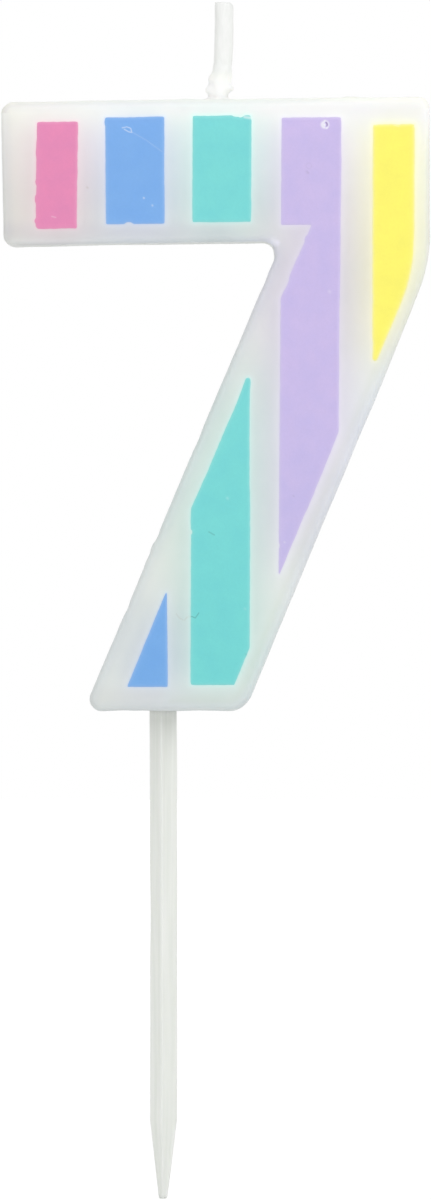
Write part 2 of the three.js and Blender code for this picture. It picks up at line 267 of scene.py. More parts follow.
# Each film: its colour, how far its edges lie inside the drawn ones (all round, and then the left,
# right, lower and upper side), how ragged they are, and bites out of them (bulges, where the depth is
# below nought): x, z, half width and depth. All in mm.
FILMS = {
    "pink_panel": ("pink", 0.0, (-0.03, 0.04, 0.08, 0.03), 0.022, (
        (-8.55, 58.95, 0.3, 0.03), (-12.8, 55.8, 1.1, -0.06), (-12.8, 52.9, 0.25, -0.08),
        (-12.8, 51.25, 0.4, -0.11), (-12.8, 49.05, 0.22, -0.13), (-12.9, 48.2, 0.3, 0.12),
    )),
    "blue_panel_upper": ("blue", -0.01, (-0.03, 0.08, 0.05, 0.02), 0.012, (
        (-3.5, 48.7, 0.38, 0.19), (-5.8, 58.9, 0.3, -0.06), (0.1, 58.3, 2.2, -0.04),
    )),
    "teal_panel_upper": ("teal", -0.02, (-0.03, 0.09, 0.09, 0.01), 0.014, (
        (8.85, 59.5, 0.3, 0.08), (7.35, 59.6, 0.45, 0.15), (7.8, 59.6, 0.25, 0.12),
        (3.4, 48.8, 0.9, 0.03),
    )),
    "lavender_panel": ("lavender", -0.02, (0.0, -0.01, 0.0, 0.0), 0.014, (
        (17.65, 33.0, 9.0, 0.08), (17.7, 54.5, 2.5, -0.03), (17.75, 59.35, 0.3, 0.04),
        (11.7, 32.5, 6.5, -0.05), (12.3, 42.8, 0.6, 0.07), (13.0, 44.3, 1.2, -0.06),
        (14.3, 47.3, 0.3, -0.10), (16.1, 24.6, 3.4, -0.06), (14.6, 20.9, 1.2, -0.05),
        (11.6, 16.6, 0.25, 0.06),
    )),
    "yellow_panel": ("yellow", 0.0, (-0.06, -0.05, -0.08, -0.03), 0.016, (
        (25.1, 58.7, 0.3, 0.06), (21.0, 58.7, 0.3, 0.04), (23.4, 58.7, 0.25, 0.05),
        (21.0, 36.5, 0.8, 0.05),
    )),
    "teal_panel_lower": ("teal", -0.02, (-0.01, 0.05, 0.01, 0.02), 0.014, (
        (2.7, 2.72, 0.25, 0.05), (2.7, 17.95, 0.22, 0.14), (2.7, 19.2, 0.9, -0.06),
        (5.6, 26.6, 6.0, 0.11), (7.2, 31.0, 2.0, 0.06),
    )),
    "blue_panel_lower": ("blue", 0.03, (0.01, 0.08, -0.03, -0.05), 0.012, ()),
}


def circle(x, z, radius, start=0, end=360):
    """Points round an arc, in mm"""
    angles = np.radians(np.linspace(start, end, 13))
    return [(x + radius * math.cos(a), z + radius * math.sin(a)) for a in angles]


# Small marks: points in mm, half width and height in mm (below nought for a scratch or pit), and
# how much lighter (or darker, below nought) the surface is there
MARKS = (
    (((-11.2, 49.5), (-10.8, 49.4)), 0.06, -0.015, 0.22),
    (((-4.15, 58.35), (-3.7, 58.45), (-3.3, 58.3), (-3.2, 57.9), (-3.5, 57.95), (-3.95, 58.2)),
        0.055, 0.012, 0.40),
    (((-3.65, 58.2), (-3.55, 58.15)), 0.07, -0.015, -0.08),
    (((-3.1, 57.9), (-1.7, 57.1), (-0.2, 56.0)), 0.06, -0.010, 0.10),
    (((-2.0, 51.35), (-1.98, 51.33)), 0.09, 0.020, 0.40),
    (((-1.15, 50.6), (-1.13, 50.58)), 0.10, 0.018, 0.28),
    # A pit in the lavender paint: its raised rim and hollow are shaped, the light arcs and spot are
    # painted highlights, and the dark crescent is painted shadow
    (circle(16.08, 58.67, 0.28, 95, 300), 0.13, 0.022, 0.68),
    (((16.04, 58.68), (16.07, 58.64)), 0.12, 0.010, 0.85),
    (circle(16.08, 58.67, 0.25, -60, 65), 0.07, -0.035, -0.80),
    (circle(16.08, 58.67, 0.42, -60, 90), 0.08, 0.015, 0.50),
    (((8.1, 59.44), (8.4, 59.38), (8.7, 59.36)), 0.13, -0.012, 0.50),
    (((14.33, 53.94), (14.41, 53.84)), 0.13, -0.018, -0.17),
    (circle(14.5, 54.55, 0.28), 0.06, -0.008, -0.07),
    (((16.55, 42.0), (16.6, 41.95)), 0.16, 0.010, 0.16),
    (((12.95, 21.55), (13.0, 21.5)), 0.10, -0.015, -0.14),
    (((12.05, 16.95), (12.1, 16.9)), 0.10, 0.012, 0.22),
    (((23.0, 58.65), (23.5, 58.5)), 0.07, -0.008, 0.12),
    (((4.5, 17.95), (5.05, 17.65)), 0.07, -0.015, -0.34),
    (((6.35, 21.35), (6.4, 21.3)), 0.13, 0.010, 0.14),
    (((8.1, 10.3), (8.15, 10.25)), 0.12, 0.010, 0.10),
    (((8.2, 5.75), (8.22, 5.7)), 0.09, -0.010, -0.16),
    (((1.25, 9.75), (1.55, 9.35), (2.05, 9.1), (2.35, 9.45), (2.8, 9.5)), 0.05, -0.010, -0.22),
    (((2.8, 9.5), (3.15, 9.35), (3.5, 9.85)), 0.05, -0.010, -0.50),
    (((-7.68, 52.42), (-7.62, 52.36)), 0.10, -0.010, -0.30),
    (((18.2, 61.36), (19.3, 61.38)), 0.09, 0.0, -0.16),
)
MARK_REACH = 2.5
MARK_STEP = 0.55

# Painted coloured light: how each colour glows in the translucent wax beside it, strongly where it
# touches, with a line of painted light close by, and more faintly further out, by how much of the wax
# round about is painted. A tint says how much more (or less, below nought) red, green and blue the wax
# sends back.
TOUCH_REACH = 0.15 * MM
TOUCH_STRENGTH = 0.30
HALO_REACH = 0.3 * MM
HALO_STRENGTH = 0.05
LENT = {
    "pink": (-0.045, -0.177, -0.123),
    "blue": (-0.170, -0.143, -0.030),
    "teal": (-0.190, -0.050, -0.057),
    "lavender": (-0.077, -0.127, -0.020),
    "yellow": (0.020, -0.020, -0.196),
}
LENT_REACH = 1.8 * MM
LENT_STEP = 0.8 * MM
LENT_FULL = 0.4
LENT_CURVE = 0.7
LENT_DEPTH = 2.5 * MM
LENT_LOSS_AT_TOP = 0.8
LENT_LOSS_REACH = 1.8 * MM

# Painted light and shade on the wax: painted light makes it paler towards the top edge, the right end
# and the collar, and painted shade makes it greyer at its rim, towards the left end, in the notch and
# down the stem
WAX_LIGHT_AND_SHADE = {
    "all over": (0.012, 0.024, 0.016),
    "top": (0.195, 0.195, 0.155),
    "top right": (0.05, 0.06, 0.0),
    "right": (0.125, 0.125, 0.085),
    "right, below": (0.130, 0.130, 0.205),
    "down the stem": (-0.085, -0.077, -0.105),
    "rim": (-0.129, -0.116, -0.065),
    "top rim": (-0.08, -0.08, -0.12),
    "left": (-0.065, -0.097, -0.133),
    "notch": (-0.064, -0.089, -0.043),
    "collar": (0.07, 0.07, 0.03),
}
TOP_REACH = 2.6 * MM
TOP_EDGE_ABOVE = 0.8
RIGHT_REACH = 9 * MM
HIGH_FROM = (25 * MM, 50 * MM)
DOWN_STEM_FROM = (3 * MM, 16 * MM)
RIM_REACH = 0.8 * MM
TOP_RIM_REACH = 0.35 * MM
TOP_RIM_DEPTH = 1.2 * MM
LEFT_REACH = 3 * MM
NOTCH = (11.5 * MM, 44 * MM)
NOTCH_REACH = 8.485 * MM
COLLAR_DEPTH = 0.3 * MM
COLLAR_REACH = (1 * MM, 2 * MM)
PALEST = 1.19

# Painted light and shade in bands just inside the rounded rim: side, how far in, half width, both in mm,
# and change
RIM_BANDS = (
    ("top", 0.33, 0.28, (-0.075, -0.10, -0.075)),
    ("under bar", 0.3, 0.3, (0.08, 0.085, 0.09)),
    ("left under bar", 1.4, 0.95, (-0.07, -0.085, -0.045)),
    ("by notch", 0.35, 0.4, (0.09, 0.075, 0.11)),
    ("left of foot", 0.2, 0.2, (0.10, 0.10, 0.10)),
    ("left of foot", 1.5, 1.0, (-0.04, -0.05, -0.035)),
    ("right of foot", 0.17, 0.16, (0.05, 0.05, 0.05)),
    ("right of foot", 1.2, 1.1, (-0.055, -0.05, -0.035)),
    ("shoulder", 0.2, 0.16, (0.06, 0.05, 0.07)),
    ("left end", 0.2, 0.13, (0.07, 0.07, 0.06)),
    ("left of stem", 0.15, 0.35, (-0.035, -0.035, -0.045)),
    ("right of stem", 0.17, 0.13, (0.05, 0.05, 0.03)),
    ("right of stem", 1.15, 0.35, (-0.035, -0.03, -0.05)),
    ("right end", 0.3, 0.2, (-0.045, -0.06, 0.0)),
)

# Where those sides lie
BAR_FROM = 40 * MM
BAR_BOTTOM = 46.6 * MM
BY_NOTCH = (5.5 * MM, 8.5 * MM)
STEM_LEAN = 0.42
LEFT_END_DEPTH = 1.5 * MM

# Light scatters deep in the wax, but less so close beside a film and where the collar thins out, and
# further up the collar its painted light and shade give way to one even shade
CLEAR_FROM_FILM = (0.05 * MM, 0.8 * MM)
CLEAR_BELOW = (2.0 * MM, 3.4 * MM)
COLLAR_TOP_SHADE = 1.02
COLLAR_FADES = (1.3 * MM, 3.3 * MM)

# Rows of a staggered grid lie this share of its step apart
ROW_SHARE = 0.87

# Points this close together are one, and this close to a plane lie on it
JOIN_WITHIN = 0.0005 * MM
ON_PLANE = 0.01 * MM

# Waves of an unevenness: how many, and their lengths as shares of the one asked for
WAVES = 7
WAVE_LENGTHS = (0.7, 1.5)

# Noise mostly lies between these shares
NOISE_SPAN = (0.3, 0.7)


# Smooth shapes and unevenness, the same on each run

def swell(points, wavelength, seed):
    """A sum of waves that run every way, each of about this length"""
    random = np.random.default_rng(seed)
    total = np.zeros(len(points))
    for _ in range(WAVES):
        way = random.normal(size=points.shape[1])
        way *= 2 * math.pi / (np.linalg.norm(way) * wavelength * random.uniform(*WAVE_LENGTHS))
        total += np.sin(points @ way + random.uniform(0, 2 * math.pi))
    return total / math.sqrt(WAVES)


def eased(values, low, high):
    share = np.clip((values - low) / (high - low), 0, 1)
    return share * share * (3 - 2 * share)


def bell(away, reach):
    """One at nought, and less on both sides"""
    return np.exp(-((away / reach) ** 2))


def fading(away, reach):
    return np.exp(-away / reach)


def lengths_of(steps):
    return np.linalg.norm(steps, axis=1)


def uneven(points, layers):
    return sum(height * swell(points, wavelength, seed) for wavelength, height, seed in layers)


# Outlines: closed rows of (x, z), anticlockwise as seen from the front

def outline_of(node, depth):
    """The outline that a solid of the frame has at this depth"""
    solid = bmesh.new()
    solid.from_mesh(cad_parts[node].data)
    bmesh.ops.remove_doubles(solid, verts=solid.verts, dist=JOIN_WITHIN)

    def flat(part):
        return all(abs(v.co.y - depth) < ON_PLANE for v in part.verts)

    ring = [e for e in solid.edges if flat(e) and sum(map(flat, e.link_faces)) < 2]
    beside = {}
    for edge in ring:
        a, b = edge.verts
        beside.setdefault(a, []).append(b)
        beside.setdefault(b, []).append(a)
    here = ring[0].verts[0]
    walk = []
    while here is not None:
        walk.append(here)
        here = next((v for v in beside[here] if v not in walk), None)
    outline = np.array([(v.co.x, v.co.z) for v in walk])
    solid.free()
    x, z = outline.T
    turning = np.sum(x * np.roll(z, -1) - np.roll(x, -1) * z)
    return outline if turning > 0 else outline[::-1]


DRAWN_WAX = outline_of("wax_body", WAX_FRONT + CAD_EDGE_ROUND)


def bar_top_at(x):
    """Height of the bar's top edge at this x"""
    after = np.roll(DRAWN_WAX, -1, axis=0)
    lengths = lengths_of(after - DRAWN_WAX)
    upper = np.minimum(DRAWN_WAX[:, 1], after[:, 1]) > TOP_EDGE_ABOVE * DRAWN_WAX[:, 1].max()
    longest = np.argmax(np.where(upper, lengths, 0))
    a, b = DRAWN_WAX[longest], after[longest]
    return a[1] + (b[1] - a[1]) * (x - a[0]) / (b[0] - a[0])


def wick_line(height):
    """x of the wick's middle at a height above the bar, or at many"""
    heights, x = np.array(WICK_ROUTE).T * MM
    spread = np.linspace(-WICK_ROUTE_BLEND, WICK_ROUTE_BLEND, 7)
    return np.mean([np.interp(height + s, heights, x) for s in spread], axis=0)


WICK_FOOT_X = wick_line(0.0)
WICK_FOOT_HEIGHT = bar_top_at(WICK_FOOT_X)


def resampled(outline, step):
    points = []
    for a, b in zip(outline, np.roll(outline, -1, axis=0)):
        count = max(1, math.ceil(np.linalg.norm(b - a) / step - 1e-6))
        points += [a + (b - a) * i / count for i in range(count)]
    return np.array(points)


def outward(outline):
    """At each point, the step that moves both edges beside it out by one"""
    along = np.roll(outline, -1, axis=0) - outline
    along /= lengths_of(along)[:, None]
    normals = np.stack([along[:, 1], -along[:, 0]], axis=1)
    middle = normals + np.roll(normals, 1, axis=0)
    middle /= lengths_of(middle)[:, None]
    return middle / np.maximum(np.sum(middle * normals, axis=1), 0.5)[:, None]


def to_line(points, a, b):
    along = b - a
    share = np.clip((points - a) @ along / max(along @ along, 1e-18), 0, 1)
    return lengths_of(points - a - share[:, None] * along)


def inside_by(points, outline, reach=None):
    """How far points lie inside an outline; below nought outside it. Points further than the reach
    outside the outline's box all count as the reach outside it."""
    if reach is not None:
        low = outline.min(axis=0) - reach
        high = outline.max(axis=0) + reach
        near = np.all((points > low) & (points < high), axis=1)
        depths = np.full(len(points), -float(reach))
        depths[near] = inside_by(points[near], outline)
        return depths
    nearest = np.full(len(points), np.inf)
    inside = np.zeros(len(points), bool)
    for a, b in zip(outline, np.roll(outline, -1, axis=0)):
        nearest = np.minimum(nearest, to_line(points, a, b))
        crosses = (a[1] > points[:, 1]) != (b[1] > points[:, 1])
        if a[1] != b[1]:
            at = a[0] + (points[:, 1] - a[1]) * (b[0] - a[0]) / (b[1] - a[1])
            inside ^= crosses & (points[:, 0] < at)
    return np.where(inside, nearest, -nearest)


def staggered_grid(outline, step):
    low = outline.min(axis=0)
    high = outline.max(axis=0)
    rows = []
    for i, z in enumerate(np.arange(low[1], high[1], step * ROW_SHARE)):
        x = np.arange(low[0] + (i % 2) * step / 2, high[0], step)
        rows.append(np.stack([x, np.full(len(x), z)], axis=1))
    return np.concatenate(rows)


def thinned(points, spacing):
    """At most one point in each cell of a fine grid"""
    cells = np.round(points / spacing).astype(int)
    _, first = np.unique(cells, axis=0, return_index=True)
    return points[np.sort(first)]


def filled(outline, inner):
    """Points and triangles that fill an outline, with the given points inside it"""
    points = [Vector(p) / MM for p in (*outline, *inner)]
    border = list(range(len(outline)))
    made, _, faces, *_ = delaunay_2d_cdt(points, [], [border], 1, 1e-6)
    return np.array([tuple(p) for p in made]) * MM, [tuple(f) for f in faces]


# Marks

def to_mark(points, line):
    line = np.array(line) * MM
    return np.min([to_line(points, a, b) for a, b in zip(line, line[1:])], axis=0)


def marked(points):
    """How far the marks raise the surface at each point, and how much lighter they make it"""
    height = np.zeros(len(points))
    tint = np.zeros(len(points))
    for line, width, rise, lighter in MARKS:
        strength = bell(to_mark(points, line), width * MM)
        height += rise * MM * strength
        tint += lighter * strength
    return height, tint


def points_round_marks():
    points = []
    for line, width, _, _ in MARKS:
        reach = width * MARK_REACH
        step = width * MARK_STEP
        spans = [np.arange(c.min() - reach, c.max() + reach, step) for c in np.array(line).T]
        grid = np.stack(np.meshgrid(*spans), axis=-1).reshape(-1, 2) * MM
        points.append(grid[to_mark(grid, line) < reach * MM])
    return np.concatenate(points)


MARK_POINTS = points_round_marks()


# Meshes

class Shell:
    """Gathers patches of surface and joins them where they meet"""

    def __init__(self):
        self.points = []
        self.faces = []

    def add(self, points, faces):
        start = len(self.points)
        self.points += [tuple(p) for p in points]
        self.faces += [tuple(start + i for i in face) for face in faces]

    def add_strips(self, *rings):
        """A strip of faces between each ring and the next"""
        for ring, other in zip(rings, rings[1:]):
            count = len(ring)
            quads = [(i, (i + 1) % count, count + (i + 1) % count, count + i) for i in range(count)]
            self.add(np.concatenate([ring, other]), quads)

    def built(self, name):
        mesh = bpy.data.meshes.new(name)
        mesh.from_pydata(self.points, [], self.faces)
        work = bmesh.new()
        work.from_mesh(mesh)
        bmesh.ops.remove_doubles(work, verts=work.verts, dist=JOIN_WITHIN)
        bmesh.ops.recalc_face_normals(work, faces=work.faces)
        work.to_mesh(mesh)
        work.free()
        return mesh


def tube(name, rings):
    """A mesh through rings of points, with a fan of faces over each end"""
    shell = Shell()
    shell.add_strips(*rings)
    for ring in (rings[0], rings[-1]):
        count = len(ring)
        shell.add([*ring, ring.mean(axis=0)], [(i, (i + 1) % count, count) for i in range(count)])
    return shell.built(name)


def vertices_of(mesh, what):
    """The vertices' places or normals as an array: what is co or normal"""
    found = np.zeros(len(mesh.vertices) * 3)
    mesh.vertices.foreach_get(what, found)
    return found.reshape(-1, 3)


def swollen(mesh, points, height):
    """Points of the mesh moved out along its normals"""
    return points + vertices_of(mesh, "normal") * height[:, None]


def move_to(mesh, points):
    mesh.vertices.foreach_set("co", points.ravel())
    mesh.update()


def keep_value(mesh, name, values):
    mesh.attributes.new(name, "FLOAT", "POINT").data.foreach_set("value", values)


def keep_colour(mesh, name, colours):
    rgba = np.concatenate([colours, np.ones((len(colours), 1))], axis=1)
    mesh.attributes.new(name, "FLOAT_COLOR", "POINT").data.foreach_set("color", rgba.ravel())


def placed(name, data):
    thing = bpy.data.objects.new(name, data)
    bpy.context.scene.collection.objects.link(thing)
    return thing


def show(node, mesh, material):
    """A finished mesh as the piece that stands for its solid in the frame"""
    mesh.shade_smooth()
    mesh.materials.append(material)
    piece = placed(node, mesh)
    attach(piece, "root")
    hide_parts(node)


def at_depth(outline, depth):
    """An outline as points in space. The depth is one number, or one for each point."""
    depths = np.broadcast_to(depth, len(outline))
    return np.stack([outline[:, 0], depths, outline[:, 1]], axis=1)


# Paint films

def bitten(outline, bites):
    """An outline with bites taken out of it, or bulges put on"""
    out = outward(outline)
    moved = outline.copy()
    for x, z, width, depth in bites:
        away = lengths_of(outline - np.array([x, z]) * MM) / (width * MM)
        moved -= out * (depth * MM * np.exp(-(away ** 4)))[:, None]
    return moved


def ragged(outline, amount, seed):
    layers = [(wavelength, share, seed + i) for i, (wavelength, share) in enumerate(FILM_RAGS)]
    return outline + outward(outline) * (amount * MM * uneven(outline, layers))[:, None]


def softened(outline, times=3):
    """An outline with its corners worn round"""
    for _ in range(times):
        outline = (np.roll(outline, 1, axis=0) + 2 * outline + np.roll(outline, -1, axis=0)) / 4
    return outline


def refitted(outline, trims):
    """An outline with each side of its box moved in by its trim"""
    left, right, lower, upper = (trim * MM for trim in trims)
    low = outline.min(axis=0)
    high = outline.max(axis=0)
    new_low = low + (left, lower)
    new_high = high - (right, upper)
    return new_low + (outline - low) * (new_high - new_low) / (high - low)


def film_outline(node, seed):
    _, inset, trims, amount, bites = FILMS[node]
    drawn = outline_of(node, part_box(node)[0].y)
    outline = softened(resampled(refitted(drawn, trims), FILM_STEP))
    outline = outline - outward(outline) * inset * MM
    return bitten(ragged(outline, amount, seed), bites)


FILM_OUTLINES = {node: film_outline(node, FILM_SEED + FILM_SEED_STEP * i) for i, node in enumerate(FILMS)}


def film_height(inside):
    """The film's thickness: it rises from a thin lip to a bead that runs along its edge"""
    rise = np.clip(inside / FILM_SHOULDER, 0, 1)
    shoulder = FILM_LIP + (FILM_HEIGHT - FILM_LIP) * rise * rise * (3 - 2 * rise)
    bead = FILM_BEAD * bell(inside - FILM_BEAD_PLACE, FILM_BEAD_SPREAD)
    return shoulder + bead * rise


def wax_relief(flat):
    """How far the wax stands proud of its front plane at places (x, z)"""
    return uneven(at_depth(flat, WAX_FRONT), WAX_UNEVENNESS)


def film_points(outline):
    """Places for the points of a film's front, inside its outline"""
    grid = staggered_grid(outline, FILM_GRID)
    within = inside_by(grid, outline) > FILM_RINGS[-1] * MM + FILM_GRID / 2
    rings = [outline - outward(outline) * ring * MM for ring in FILM_RINGS]
    inner = np.concatenate([*rings, grid[within], MARK_POINTS])
    inner = inner[inside_by(inner, outline) > FILM_MARGIN]
    return thinned(inner, FILM_SPACING)


def film_shade(flat):
    """Painted light and shade on a film at places (x, z), beside its usual colour"""
    below_top = bar_top_at(flat[:, 0]) - flat[:, 1]
    shade = np.outer(eased(below_top, *PAINTED_SHADE_FROM), PAINTED_SHADE_LOW)
    shade += np.outer(bell(below_top, PAINTED_LIGHT_REACH), PAINTED_LIGHT_HIGH)
    return np.exp(shade)


def film_mesh(node):
    outline = FILM_OUTLINES[node]
    points, faces = filled(outline, film_points(outline))
    inside = np.maximum(inside_by(points, outline), 0)
    rough = np.clip(inside / FILM_EVEN_RIM, 0, 1)
    height = film_height(inside) + rough * (uneven(points, FILM_UNEVENNESS) + marked(points)[0])
    lip = WAX_FRONT - FILM_LIP - wax_relief(outline)
    root = WAX_FRONT + FILM_ROOT
    shell = Shell()
    shell.add(at_depth(points, WAX_FRONT - height - wax_relief(points)), faces)
    shell.add_strips(at_depth(outline, lip), at_depth(outline, root))
    base, base_faces = filled(outline, np.empty((0, 2)))
    shell.add(at_depth(base, root), base_faces)
    mesh = shell.built(node)
    flat = vertices_of(mesh, "co")[:, [0, 2]]
    inside = np.maximum(inside_by(flat, outline), 0)
    keep_colour(mesh, "shade", film_shade(flat))
    keep_value(mesh, "rim", fading(inside, FILM_THIN))
    keep_value(mesh, "tint", marked(flat)[1])
    return mesh


# Wax body

def wax_profile():
    """Inset and depth of each ring, from the front face over the rounded edges to the back face"""
    turns = [math.pi / 2 * i / EDGE_STEPS for i in range(EDGE_STEPS + 1)]
    edge = [(WAX_EDGE_ROUND * (1 - math.sin(a)), WAX_EDGE_ROUND * (1 - math.cos(a))) for a in turns]
    wall = WAX_BACK - WAX_FRONT - 2 * WAX_EDGE_ROUND
    steps = math.ceil(wall / WALL_STEP)
    middle = [(0, WAX_FRONT + WAX_EDGE_ROUND + wall * i / steps) for i in range(1, steps)]
    front = [(inset, WAX_FRONT + depth) for inset, depth in edge]
    back = [(inset, WAX_BACK - depth) for inset, depth in reversed(edge)]
    return front + middle + back


def face_points(outline, by_films):
    """Points of the front or back face: an even grid, and closer rows beside the films"""
    grid = staggered_grid(outline, FACE_STEP)
    grid = grid[inside_by(grid, outline) > GRID_MARGIN]
    if not by_films:
        return grid
    rows = []
    for film in FILM_OUTLINES.values():
        inside = inside_by(grid, film, NEAR_FILM)
        grid = grid[(inside < NO_GRID_BY_FILM[0]) | (inside > NO_GRID_BY_FILM[1])]
        rows += [film + outward(film) * (away * MM) for away in ROWS_BY_FILM]
    points = np.concatenate([grid, *rows, MARK_POINTS])
    points = points[inside_by(points, outline) > ROWS_MARGIN]
    return thinned(points, FACE_SPACING)


def trimmed(outline):
    """The drawn outline moved in to where the cast ends"""
    x, z = outline.T
    out = outward(outline)
    down = eased(-out[:, 1], *FACING)
    under_bar = TRIM_BAR[0] + (TRIM_BAR[1] - TRIM_BAR[0]) * eased(x, *TRIM_BAR_FROM)
    inwards = TRIM_RIGHT * eased(out[:, 0], *FACING) + TRIM_LEFT_END * eased(-x, *LEFT_END)
    inwards += down * np.where((z > BAR_UNDERSIDE[0]) & (z < BAR_UNDERSIDE[1]), under_bar, 0)
    inwards += down * np.where(z < FOOT_TOP, TRIM_FOOT, 0)
    return outline - out * inwards[:, None]


def rim_flaws(points):
    height = np.zeros(len(points))
    for x, z, reach, depth in RIM_FLAWS:
        away = lengths_of(points[:, [0, 2]] - np.array([x, z]) * MM)
        height -= depth * MM * bell(away, reach * MM)
    return height


def along_profile(profile, shares):
    """Radius and height at shares of the profile's length"""
    points = np.array(profile) * MM
    lengths = np.concatenate([[0], np.cumsum(lengths_of(np.diff(points, axis=0)))])
    at = shares * lengths[-1]
    return np.interp(at, lengths, points[:, 0]), np.interp(at, lengths, points[:, 1])


def drawn_up(points):
    """Lifts the flat of the bar into the collar of wax that surrounds the wick"""
    away = points[:, [0, 1]] - (WICK_FOOT_X, 0)
    radius = lengths_of(away)
    taken = (radius < COLLAR_FOOT) & (points[:, 2] > WICK_FOOT_HEIGHT - COLLAR_GROUND)
    taken &= np.abs(points[:, 1]) < WAX_BACK - WAX_EDGE_ROUND + ON_PLANE
    around = np.arctan2(away[taken, 1], away[taken, 0])
    new_radius, lift = along_profile(COLLAR_PROFILE, 1 - radius[taken] / COLLAR_FOOT)
    for angle, height, spread, spread_round, swelling in COLLAR_LUMPS:
        turn = np.angle(np.exp(1j * (around - math.radians(angle)))) / math.radians(spread_round)
        nearness = np.exp(-np.abs((lift / MM - height) / spread) ** 3 - turn ** 2)
        new_radius += swelling * MM * nearness * eased(lift, 0, COLLAR_LUMPS_START)
    moved = points.copy()
    moved[taken, 0] = wick_line(lift) + new_radius * np.cos(around)
    moved[taken, 1] = new_radius * np.sin(around)
    moved[taken, 2] += lift * (1 + COLLAR_TILT * np.cos(around - COLLAR_HIGH_SIDE))
    lumpy = uneven(moved[taken], COLLAR_UNEVENNESS) * np.clip(lift / COLLAR_UNEVEN_FROM, 0, 1)
    moved[taken, 0] += lumpy * np.cos(around)
    moved[taken, 1] += lumpy * np.sin(around)
    return moved


def refine_by_wick(mesh):
    """Halves the edges of the collar and of the flat close beside it, twice"""
    def near(place):
        away = math.hypot(place.x - WICK_FOOT_X, place.y)
        return away < COLLAR_FOOT + COLLAR_MARGIN and place.z > WICK_FOOT_HEIGHT - COLLAR_GROUND

    work = bmesh.new()
    work.from_mesh(mesh)
    for _ in range(2):
        edges = [e for e in work.edges if all(near(v.co) for v in e.verts)]
        bmesh.ops.subdivide_edges(work, edges=edges, cuts=1, use_grid_fill=True)
    work.to_mesh(mesh)
    work.free()


def lent(flat, outline):
    """How much of a film lies round each place, from nought to about one beside it"""
    grid = staggered_grid(outline, LENT_STEP)
    spots = grid[inside_by(grid, outline) > 0]
    spread = 2 * LENT_REACH ** 2
    total = sum(np.exp(-np.sum((flat - spot) ** 2, axis=1) / spread) for spot in spots)
    covered = total * LENT_STEP ** 2 * ROW_SHARE / (math.pi * spread)
    return (covered / LENT_FULL) ** LENT_CURVE


def lent_by_films(points, by_depth, below_top):
    """Painted coloured light from the films' colours in the wax beside them, with a line of painted light
    along them
    """
    flat = points[:, [0, 2]]
    kept = by_depth * (1 - LENT_LOSS_AT_TOP * fading(below_top, LENT_LOSS_REACH))
    tint = np.zeros((len(points), 3))
    for node, outline in FILM_OUTLINES.items():
        paint = FILMS[node][0]
        colour = np.array(PALETTE[paint])
        away = np.maximum(-inside_by(flat, outline, NEAR_FILM), 0)
        touch = by_depth * TOUCH_STRENGTH * fading(away, TOUCH_REACH)
        tint += np.outer(touch, colour / colour.max() - 1)
        tint += HALO_STRENGTH * (by_depth * bell(away, HALO_REACH))[:, None]
        tint += np.outer(kept * lent(flat, outline), LENT[paint])
    return tint


def wax_parts(points, by_depth, below_top, from_rim):
    """How fully each point lies in each broad part of the wax"""
    x, _, z = points.T
    near_top = fading(below_top, TOP_REACH)
    near_right = fading(WAX_BOX[1].x - x, RIGHT_REACH)
    high = eased(z, *HIGH_FROM)
    from_notch = lengths_of(points[:, [0, 2]] - NOTCH)
    from_wick = lengths_of(points[:, [0, 1]] - (WICK_FOOT_X, 0))
    return {
        "all over": np.ones(len(points)),
        "top": near_top,
        "top right": near_top * near_right,
        "right": near_right * high,
        "right, below": near_right * (1 - high),
        "down the stem": eased(below_top, *DOWN_STEM_FROM),
        "rim": by_depth * bell(from_rim, RIM_REACH),
        "top rim": by_depth * (below_top < TOP_RIM_DEPTH) * bell(from_rim, TOP_RIM_REACH),
        "left": fading(x - WAX_BOX[0].x, LEFT_REACH),
        "notch": by_depth * bell(from_notch, NOTCH_REACH),
        "collar": (below_top < COLLAR_DEPTH) * (1 - eased(from_wick, *COLLAR_REACH)),
    }


def rim_bands(points, from_rim, below_top):
    """How much painted light or shade lightens or darkens the wax in bands along its sides"""
    x, _, z = points.T
    in_bar = z > BAR_FROM
    in_stem = ~in_bar
    by_notch = eased(x, *BY_NOTCH)
    above = z - BAR_BOTTOM
    sides = {
        "top": (below_top < TOP_RIM_DEPTH, from_rim),
        "under bar": (in_bar & (x < NOTCH[0]), above),
        "left under bar": (in_bar * (1 - by_notch), above),
        "by notch": (in_bar * by_notch * (x < NOTCH[0]), above),
        "left of foot": (x < 0, z),
        "right of foot": (x > 0, z),
        "left end": (x < WAX_BOX[0].x + LEFT_END_DEPTH, from_rim),
        "left of stem": (in_stem & (x < STEM_LEAN * z), from_rim),
        "right of stem": (in_stem & (x > STEM_LEAN * z), from_rim),
        "shoulder": (in_bar & (x > NOTCH[0]) & (above < 0), from_rim),
        "right end": (in_bar, WAX_BOX[1].x - x),
    }
    tint = np.zeros((len(points), 3))
    for side, place, reach, change in RIM_BANDS:
        there, away = sides[side]
        tint += np.outer(there * bell(away - place * MM, reach * MM), change)
    return tint


def wax_shade(points):
    """Painted light and shade on the wax, beside its usual colour: the films' painted coloured light, and
    where it is painted paler or darker
    """
    by_depth = fading(points[:, 1] - WAX_FRONT, LENT_DEPTH)
    below_top = np.maximum(bar_top_at(points[:, 0]) - points[:, 2], 0)
    from_rim = np.maximum(inside_by(points[:, [0, 2]], DRAWN_WAX), 0)
    parts = wax_parts(points, by_depth, below_top, from_rim)
    tint = lent_by_films(points, by_depth, below_top)
    for part, change in WAX_LIGHT_AND_SHADE.items():
        tint += np.outer(parts[part], change)
    shade = np.exp(tint)
    shade *= np.minimum(1, PALEST / shade.max(axis=1, keepdims=True))
    return shade * np.exp(by_depth[:, None] * rim_bands(points, from_rim, below_top))


